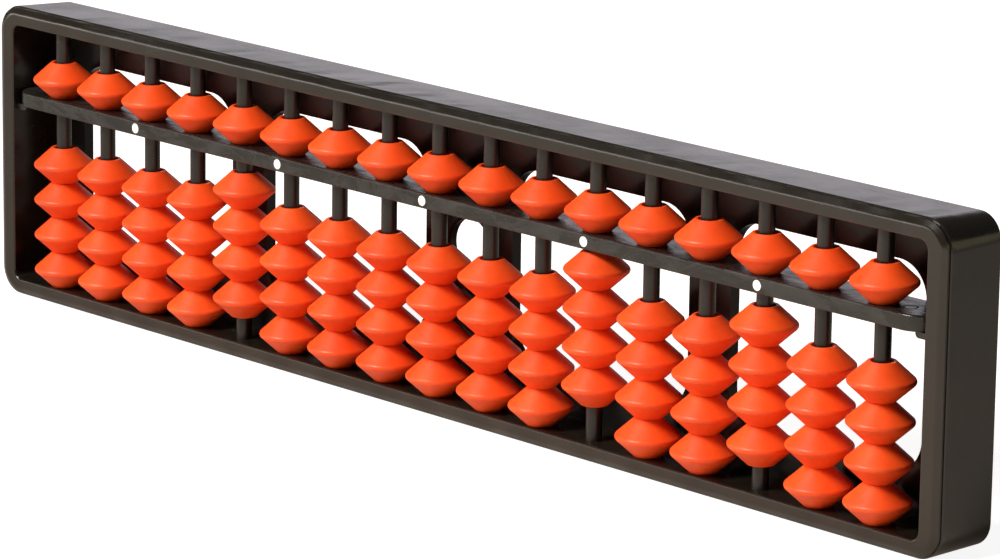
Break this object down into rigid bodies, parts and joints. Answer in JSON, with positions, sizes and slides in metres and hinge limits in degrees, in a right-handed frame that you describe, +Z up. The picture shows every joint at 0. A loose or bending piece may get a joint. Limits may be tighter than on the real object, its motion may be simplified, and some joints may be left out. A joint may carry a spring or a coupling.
{
  "type": "abacus",
  "caption": "Counting frame that stands on its long edge, with beads sliding on upright rods above and below a reckoning beam.",
  "frame": {"origin": "under the middle of the object, on the surface that it stands on", "axes": "+X along the row of columns, the beads face -Y, +Z up along the rods"},
  "size_m": [0.28, 0.0186, 0.065],
  "materials": {
    "frame_plastic": "glossy moulded black",
    "panel_plastic": "glossy moulded black",
    "beam_plastic": "glossy black with handling marks",
    "rod_plastic": "satin black",
    "dot_white": "matte white",
    "bead_plastic": "satin orange red"
  },
  "bodies": {
    "root": {"frame": "frame_plastic", "back_panel": "panel_plastic", "beam": "beam_plastic", "unit_dots": "dot_white", "rods": "rod_plastic"},
    "heaven_bead_01": {"heaven_bead_01": "bead_plastic"},
    "earth_top_bead_01": {"earth_top_bead_01": "bead_plastic"},
    "earth_lower_beads_01": {"earth_lower_beads_01": "bead_plastic"},
    "heaven_bead_02": {"heaven_bead_02": "bead_plastic"},
    "earth_top_bead_02": {"earth_top_bead_02": "bead_plastic"},
    "earth_lower_beads_02": {"earth_lower_beads_02": "bead_plastic"},
    "heaven_bead_03": {"heaven_bead_03": "bead_plastic"},
    "earth_top_bead_03": {"earth_top_bead_03": "bead_plastic"},
    "earth_lower_beads_03": {"earth_lower_beads_03": "bead_plastic"},
    "heaven_bead_04": {"heaven_bead_04": "bead_plastic"},
    "earth_top_bead_04": {"earth_top_bead_04": "bead_plastic"},
    "earth_lower_beads_04": {"earth_lower_beads_04": "bead_plastic"},
    "heaven_bead_05": {"heaven_bead_05": "bead_plastic"},
    "earth_top_bead_05": {"earth_top_bead_05": "bead_plastic"},
    "earth_lower_beads_05": {"earth_lower_beads_05": "bead_plastic"},
    "heaven_bead_06": {"heaven_bead_06": "bead_plastic"},
    "earth_top_bead_06": {"earth_top_bead_06": "bead_plastic"},
    "earth_lower_beads_06": {"earth_lower_beads_06": "bead_plastic"},
    "heaven_bead_07": {"heaven_bead_07": "bead_plastic"},
    "earth_top_bead_07": {"earth_top_bead_07": "bead_plastic"},
    "earth_lower_beads_07": {"earth_lower_beads_07": "bead_plastic"},
    "heaven_bead_08": {"heaven_bead_08": "bead_plastic"},
    "earth_top_bead_08": {"earth_top_bead_08": "bead_plastic"},
    "earth_lower_beads_08": {"earth_lower_beads_08": "bead_plastic"},
    "heaven_bead_09": {"heaven_bead_09": "bead_plastic"},
    "earth_top_bead_09": {"earth_top_bead_09": "bead_plastic"},
    "earth_lower_beads_09": {"earth_lower_beads_09": "bead_plastic"},
    "heaven_bead_10": {"heaven_bead_10": "bead_plastic"},
    "earth_top_bead_10": {"earth_top_bead_10": "bead_plastic"},
    "earth_lower_beads_10": {"earth_lower_beads_10": "bead_plastic"},
    "heaven_bead_11": {"heaven_bead_11": "bead_plastic"},
    "earth_top_bead_11": {"earth_top_bead_11": "bead_plastic"},
    "earth_lower_beads_11": {"earth_lower_beads_11": "bead_plastic"},
    "heaven_bead_12": {"heaven_bead_12": "bead_plastic"},
    "earth_top_bead_12": {"earth_top_bead_12": "bead_plastic"},
    "earth_lower_beads_12": {"earth_lower_beads_12": "bead_plastic"},
    "heaven_bead_13": {"heaven_bead_13": "bead_plastic"},
    "earth_top_bead_13": {"earth_top_bead_13": "bead_plastic"},
    "earth_lower_beads_13": {"earth_lower_beads_13": "bead_plastic"},
    "heaven_bead_14": {"heaven_bead_14": "bead_plastic"},
    "earth_top_bead_14": {"earth_top_bead_14": "bead_plastic"},
    "earth_lower_beads_14": {"earth_lower_beads_14": "bead_plastic"},
    "heaven_bead_15": {"heaven_bead_15": "bead_plastic"},
    "earth_top_bead_15": {"earth_top_bead_15": "bead_plastic"},
    "earth_lower_beads_15": {"earth_lower_beads_15": "bead_plastic"},
    "heaven_bead_16": {"heaven_bead_16": "bead_plastic"},
    "earth_top_bead_16": {"earth_top_bead_16": "bead_plastic"},
    "earth_lower_beads_16": {"earth_lower_beads_16": "bead_plastic"},
    "heaven_bead_17": {"heaven_bead_17": "bead_plastic"},
    "earth_top_bead_17": {"earth_top_bead_17": "bead_plastic"},
    "earth_lower_beads_17": {"earth_lower_beads_17": "bead_plastic"}
  },
  "joints": [
    {"name": "heaven_slide_01", "type": "slide", "parent": "root", "child": "heaven_bead_01", "axis": [0, 0, 1], "range_m": [0, 0.00665]},
    {"name": "earth_lower_slide_01", "type": "slide", "parent": "root", "child": "earth_lower_beads_01", "axis": [0, 0, 1], "range_m": [0, 0.0079]},
    {"name": "earth_top_slide_01", "type": "slide", "parent": "earth_lower_beads_01", "child": "earth_top_bead_01", "axis": [0, 0, -1], "range_m": [-0.0079, 0]},
    {"name": "heaven_slide_02", "type": "slide", "parent": "root", "child": "heaven_bead_02", "axis": [0, 0, 1], "range_m": [0, 0.00665]},
    {"name": "earth_lower_slide_02", "type": "slide", "parent": "root", "child": "earth_lower_beads_02", "axis": [0, 0, 1], "range_m": [0, 0.0079]},
    {"name": "earth_top_slide_02", "type": "slide", "parent": "earth_lower_beads_02", "child": "earth_top_bead_02", "axis": [0, 0, -1], "range_m": [-0.0079, 0]},
    {"name": "heaven_slide_03", "type": "slide", "parent": "root", "child": "heaven_bead_03", "axis": [0, 0, 1], "range_m": [0, 0.00665]},
    {"name": "earth_lower_slide_03", "type": "slide", "parent": "root", "child": "earth_lower_beads_03", "axis": [0, 0, 1], "range_m": [0, 0.0079]},
    {"name": "earth_top_slide_03", "type": "slide", "parent": "earth_lower_beads_03", "child": "earth_top_bead_03", "axis": [0, 0, -1], "range_m": [-0.0079, 0]},
    {"name": "heaven_slide_04", "type": "slide", "parent": "root", "child": "heaven_bead_04", "axis": [0, 0, 1], "range_m": [0, 0.00665]},
    {"name": "earth_lower_slide_04", "type": "slide", "parent": "root", "child": "earth_lower_beads_04", "axis": [0, 0, 1], "range_m": [0, 0.0079]},
    {"name": "earth_top_slide_04", "type": "slide", "parent": "earth_lower_beads_04", "child": "earth_top_bead_04", "axis": [0, 0, -1], "range_m": [-0.0079, 0]},
    {"name": "heaven_slide_05", "type": "slide", "parent": "root", "child": "heaven_bead_05", "axis": [0, 0, 1], "range_m": [0, 0.00665]},
    {"name": "earth_top_slide_05", "type": "slide", "parent": "root", "child": "earth_top_bead_05", "axis": [0, 0, 1], "range_m": [-0.0049, 0.003]},
    {"name": "earth_lower_slide_05", "type": "slide", "parent": "earth_top_bead_05", "child": "earth_lower_beads_05", "axis": [0, 0, -1], "range_m": [0, 0.0049]},
    {"name": "heaven_slide_06", "type": "slide", "parent": "root", "child": "heaven_bead_06", "axis": [0, 0, 1], "range_m": [0, 0.00665]},
    {"name": "earth_lower_slide_06", "type": "slide", "parent": "root", "child": "earth_lower_beads_06", "axis": [0, 0, 1], "range_m": [0, 0.0079]},
    {"name": "earth_top_slide_06", "type": "slide", "parent": "earth_lower_beads_06", "child": "earth_top_bead_06", "axis": [0, 0, -1], "range_m": [-0.0079, 0]},
    {"name": "heaven_slide_07", "type": "slide", "parent": "root", "child": "heaven_bead_07", "axis": [0, 0, 1], "range_m": [0, 0.00665]},
    {"name": "earth_lower_slide_07", "type": "slide", "parent": "root", "child": "earth_lower_beads_07", "axis": [0, 0, 1], "range_m": [0, 0.0079]},
    {"name": "earth_top_slide_07", "type": "slide", "parent": "earth_lower_beads_07", "child": "earth_top_bead_07", "axis": [0, 0, -1], "range_m": [-0.0079, 0]},
    {"name": "heaven_slide_08", "type": "slide", "parent": "root", "child": "heaven_bead_08", "axis": [0, 0, 1], "range_m": [0, 0.00665]},
    {"name": "earth_lower_slide_08", "type": "slide", "parent": "root", "child": "earth_lower_beads_08", "axis": [0, 0, 1], "range_m": [0, 0.0079]},
    {"name": "earth_top_slide_08", "type": "slide", "parent": "earth_lower_beads_08", "child": "earth_top_bead_08", "axis": [0, 0, -1], "range_m": [-0.0079, 0]},
    {"name": "heaven_slide_09", "type": "slide", "parent": "root", "child": "heaven_bead_09", "axis": [0, 0, 1], "range_m": [0, 0.00665]},
    {"name": "earth_lower_slide_09", "type": "slide", "parent": "root", "child": "earth_lower_beads_09", "axis": [0, 0, 1], "range_m": [0, 0.0079]},
    {"name": "earth_top_slide_09", "type": "slide", "parent": "earth_lower_beads_09", "child": "earth_top_bead_09", "axis": [0, 0, -1], "range_m": [-0.0079, 0]},
    {"name": "heaven_slide_10", "type": "slide", "parent": "root", "child": "heaven_bead_10", "axis": [0, 0, 1], "range_m": [0, 0.00665]},
    {"name": "earth_lower_slide_10", "type": "slide", "parent": "root", "child": "earth_lower_beads_10", "axis": [0, 0, 1], "range_m": [0, 0.0079]},
    {"name": "earth_top_slide_10", "type": "slide", "parent": "earth_lower_beads_10", "child": "earth_top_bead_10", "axis": [0, 0, -1], "range_m": [-0.0079, 0]},
    {"name": "heaven_slide_11", "type": "slide", "parent": "root", "child": "heaven_bead_11", "axis": [0, 0, 1], "range_m": [0, 0.00665]},
    {"name": "earth_lower_slide_11", "type": "slide", "parent": "root", "child": "earth_lower_beads_11", "axis": [0, 0, 1], "range_m": [0, 0.0079]},
    {"name": "earth_top_slide_11", "type": "slide", "parent": "earth_lower_beads_11", "child": "earth_top_bead_11", "axis": [0, 0, -1], "range_m": [-0.0079, 0]},
    {"name": "heaven_slide_12", "type": "slide", "parent": "root", "child": "heaven_bead_12", "axis": [0, 0, 1], "range_m": [0, 0.00665]},
    {"name": "earth_top_slide_12", "type": "slide", "parent": "root", "child": "earth_top_bead_12", "axis": [0, 0, 1], "range_m": [-0.0073, 0.0006]},
    {"name": "earth_lower_slide_12", "type": "slide", "parent": "earth_top_bead_12", "child": "earth_lower_beads_12", "axis": [0, 0, -1], "range_m": [0, 0.0073]},
    {"name": "heaven_slide_13", "type": "slide", "parent": "root", "child": "heaven_bead_13", "axis": [0, 0, 1], "range_m": [0, 0.00665]},
    {"name": "earth_lower_slide_13", "type": "slide", "parent": "root", "child": "earth_lower_beads_13", "axis": [0, 0, 1], "range_m": [0, 0.0079]},
    {"name": "earth_top_slide_13", "type": "slide", "parent": "earth_lower_beads_13", "child": "earth_top_bead_13", "axis": [0, 0, -1], "range_m": [-0.0079, 0]},
    {"name": "heaven_slide_14", "type": "slide", "parent": "root", "child": "heaven_bead_14", "axis": [0, 0, 1], "range_m": [0, 0.00665]},
    {"name": "earth_lower_slide_14", "type": "slide", "parent": "root", "child": "earth_lower_beads_14", "axis": [0, 0, 1], "range_m": [0, 0.0079]},
    {"name": "earth_top_slide_14", "type": "slide", "parent": "earth_lower_beads_14", "child": "earth_top_bead_14", "axis": [0, 0, -1], "range_m": [-0.0079, 0]},
    {"name": "heaven_slide_15", "type": "slide", "parent": "root", "child": "heaven_bead_15", "axis": [0, 0, 1], "range_m": [0, 0.00665]},
    {"name": "earth_top_slide_15", "type": "slide", "parent": "root", "child": "earth_top_bead_15", "axis": [0, 0, 1], "range_m": [-0.0049, 0.003]},
    {"name": "earth_lower_slide_15", "type": "slide", "parent": "earth_top_bead_15", "child": "earth_lower_beads_15", "axis": [0, 0, -1], "range_m": [0, 0.0049]},
    {"name": "heaven_slide_16", "type": "slide", "parent": "root", "child": "heaven_bead_16", "axis": [0, 0, 1], "range_m": [0, 0.00665]},
    {"name": "earth_lower_slide_16", "type": "slide", "parent": "root", "child": "earth_lower_beads_16", "axis": [0, 0, 1], "range_m": [0, 0.0079]},
    {"name": "earth_top_slide_16", "type": "slide", "parent": "earth_lower_beads_16", "child": "earth_top_bead_16", "axis": [0, 0, -1], "range_m": [-0.0079, 0]},
    {"name": "heaven_slide_17", "type": "slide", "parent": "root", "child": "heaven_bead_17", "axis": [0, 0, 1], "range_m": [0, 0.00665]},
    {"name": "earth_lower_slide_17", "type": "slide", "parent": "root", "child": "earth_lower_beads_17", "axis": [0, 0, 1], "range_m": [0, 0.0079]},
    {"name": "earth_top_slide_17", "type": "slide", "parent": "earth_lower_beads_17", "child": "earth_top_bead_17", "axis": [0, 0, -1], "range_m": [-0.0079, 0]}
  ]
}
